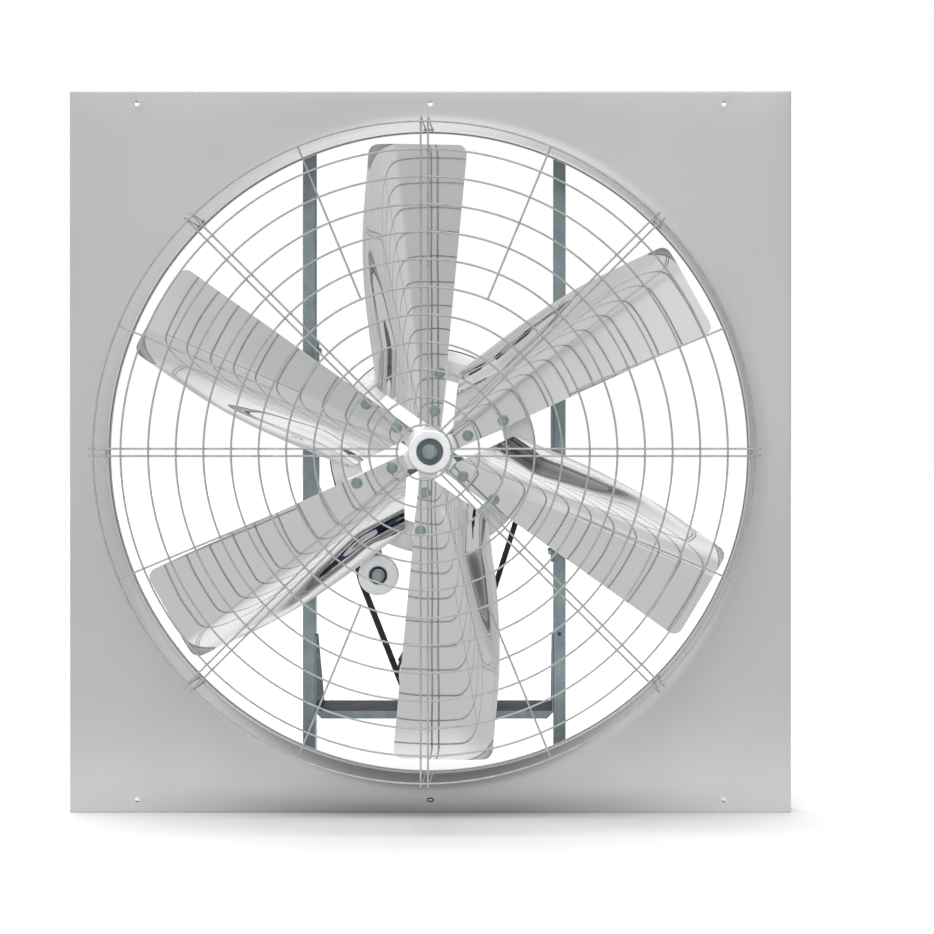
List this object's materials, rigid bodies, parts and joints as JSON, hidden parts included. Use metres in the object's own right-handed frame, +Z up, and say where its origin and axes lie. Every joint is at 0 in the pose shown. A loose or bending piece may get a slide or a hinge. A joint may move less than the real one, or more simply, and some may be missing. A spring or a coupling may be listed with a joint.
{
  "type": "whole house fan",
  "caption": "Belt-driven whole house fan: square steel panel with a flared throat, a wire guard, a bladed propeller on a spoked hub pulley, and a motor on a shelf between two rails.",
  "frame": {"origin": "under the hub, on the underside of the panel's bottom flange, midway through its depth", "axes": "+Z up, -Y out of the guard side, +X to the right seen from the guard side"},
  "size_m": [1.42, 0.51, 1.42],
  "materials": {
    "panel": "satin",
    "guard_wire": "zinc plated",
    "zinc": "blue-grey zinc",
    "shelf": "satin",
    "stainless": "polished stainless steel",
    "cast_aluminium": "satin casting",
    "steel": "ground",
    "bearing_seal": "dark sealed bearing",
    "belt": "matte",
    "motor": "navy enamel",
    "black_plastic": "matte"
  },
  "bodies": {
    "frame": {"fan_panel": "panel", "guard_grille": "guard_wire", "guard_leg_1": "guard_wire", "guard_leg_2": "guard_wire", "guard_leg_3": "guard_wire", "guard_leg_4": "guard_wire", "guard_leg_5": "guard_wire", "guard_leg_6": "guard_wire", "guard_leg_7": "guard_wire", "guard_leg_8": "guard_wire", "spindle": "steel", "spindle_bolt": "zinc", "spindle_nut": "zinc", "spindle_spider": "zinc", "rail_left": "zinc", "rail_right": "zinc", "rail_bracket_upper_left": "zinc", "rail_bracket_lower_left": "zinc", "rail_bracket_upper_right": "zinc", "rail_bracket_lower_right": "zinc", "motor_shelf": "shelf", "motor_frame": "motor", "motor_front_shield": "motor", "motor_rear_shield": "motor", "motor_fan_cowl": "motor", "terminal_box": "motor", "cable_gland": "black_plastic", "drive_belt": "belt", "tensioner_pivot_bolt": "zinc", "tensioner_spring": "steel"},
    "fan_rotor": {"hub_pulley": "cast_aluminium", "front_bearing": "steel", "rear_bearing": "steel", "blade_1": "stainless", "blade_2": "stainless", "blade_3": "stainless", "blade_4": "stainless", "blade_5": "stainless", "blade_6": "stainless", "blade_bolt_1_inner": "zinc", "blade_bolt_1_outer": "zinc", "blade_bolt_2_inner": "zinc", "blade_bolt_2_outer": "zinc", "blade_bolt_3_inner": "zinc", "blade_bolt_3_outer": "zinc", "blade_bolt_4_inner": "zinc", "blade_bolt_4_outer": "zinc", "blade_bolt_5_inner": "zinc", "blade_bolt_5_outer": "zinc", "blade_bolt_6_inner": "zinc", "blade_bolt_6_outer": "zinc"},
    "motor_rotor": {"motor_shaft": "steel", "motor_pulley": "cast_aluminium", "motor_cooling_fan": "black_plastic"},
    "tensioner": {"tensioner_arm": "zinc", "idler_bolt": "zinc"},
    "idler": {"idler_roller": "cast_aluminium", "idler_bearing": "bearing_seal"}
  },
  "joints": [
    {"name": "fan_spin", "type": "hinge", "parent": "frame", "child": "fan_rotor", "pos_m": [0, 0.066, 0.71], "axis": [0, 1, 0], "continuous": true},
    {"name": "motor_spin", "type": "hinge", "parent": "frame", "child": "motor_rotor", "pos_m": [0, 0.066, 0.257], "axis": [0, 1, 0], "continuous": true},
    {"name": "tensioner_swing", "type": "hinge", "parent": "frame", "child": "tensioner", "pos_m": [-0.139, 0.0842, 0.63], "axis": [0, 1, 0], "range_deg": [-10, 0], "stiffness_Nm_per_rad": 15, "springref_deg": 20.05},
    {"name": "idler_spin", "type": "hinge", "parent": "tensioner", "child": "idler", "pos_m": [-0.11, 0.066, 0.46], "axis": [0, 1, 0], "continuous": true}
  ],
  "couplings": [
    {"joint": "motor_spin", "follows": "fan_spin", "ratio": 3.1231},
    {"joint": "idler_spin", "follows": "fan_spin", "ratio": 5.4865}
  ]
}
